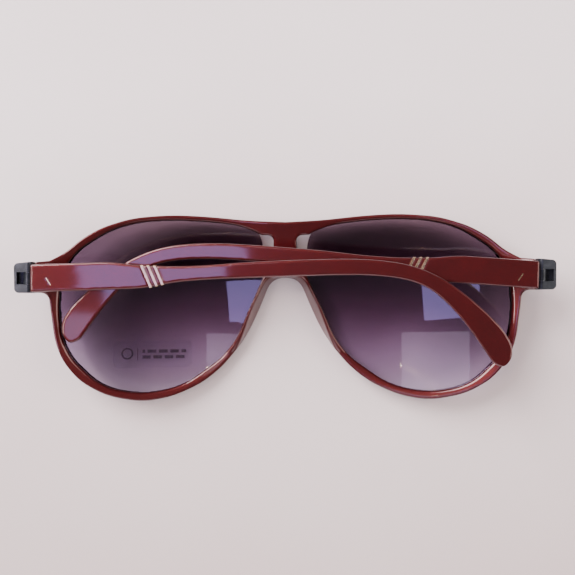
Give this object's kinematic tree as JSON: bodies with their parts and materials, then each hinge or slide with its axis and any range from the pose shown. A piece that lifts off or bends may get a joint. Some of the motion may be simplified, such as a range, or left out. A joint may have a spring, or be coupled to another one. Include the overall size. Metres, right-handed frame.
{
  "type": "aviator sunglasses",
  "caption": "Teardrop-lens sunglasses with a thin plastic rim, double-arm bridge, ringed temples that fold, and graduated see-through lenses.",
  "frame": {"origin": "on the surface the sunglasses lie on, under the middle of the front", "axes": "+X across the front towards the right lens, +Y from the lower rims up to the brow, +Z from the lenses back towards the wearer"},
  "size_m": [0.144, 0.0508, 0.0217],
  "materials": {
    "front_plastic": "metallic candy red under clear lacquer",
    "temple_plastic": "metallic candy red under clear lacquer",
    "lens": "graduated violet-brown tint, polished",
    "label_film": "clear self-adhesive film",
    "hinge_black": "satin black",
    "screw_steel": "satin",
    "ring_gold": "polished pale gold"
  },
  "bodies": {
    "front": {"front_frame": "front_plastic", "left_lens": "lens", "right_lens": "lens", "lens_label": "label_film", "left_hinge_block": "hinge_black", "right_hinge_block": "hinge_black", "left_hinge_screw": "screw_steel", "right_hinge_screw": "screw_steel"},
    "left_temple": {"left_temple": "temple_plastic", "left_temple_hinge": "hinge_black", "left_temple_inlay": "ring_gold", "left_ring_1": "ring_gold", "left_ring_2": "ring_gold", "left_ring_3": "ring_gold"},
    "right_temple": {"right_temple": "temple_plastic", "right_temple_hinge": "hinge_black", "right_temple_inlay": "ring_gold", "right_ring_1": "ring_gold", "right_ring_2": "ring_gold", "right_ring_3": "ring_gold"}
  },
  "joints": [
    {"name": "left_temple_hinge", "type": "hinge", "parent": "front", "child": "left_temple", "pos_m": [-0.0684, 0.0084, 0.0146], "axis": [-0.0244, -0.9983, -0.0523], "range_deg": [0, 92]},
    {"name": "right_temple_hinge", "type": "hinge", "parent": "front", "child": "right_temple", "pos_m": [0.0684, 0.0084, 0.0146], "axis": [0.0244, 0.9983, 0.0523], "range_deg": [0, 95.8]}
  ]
}
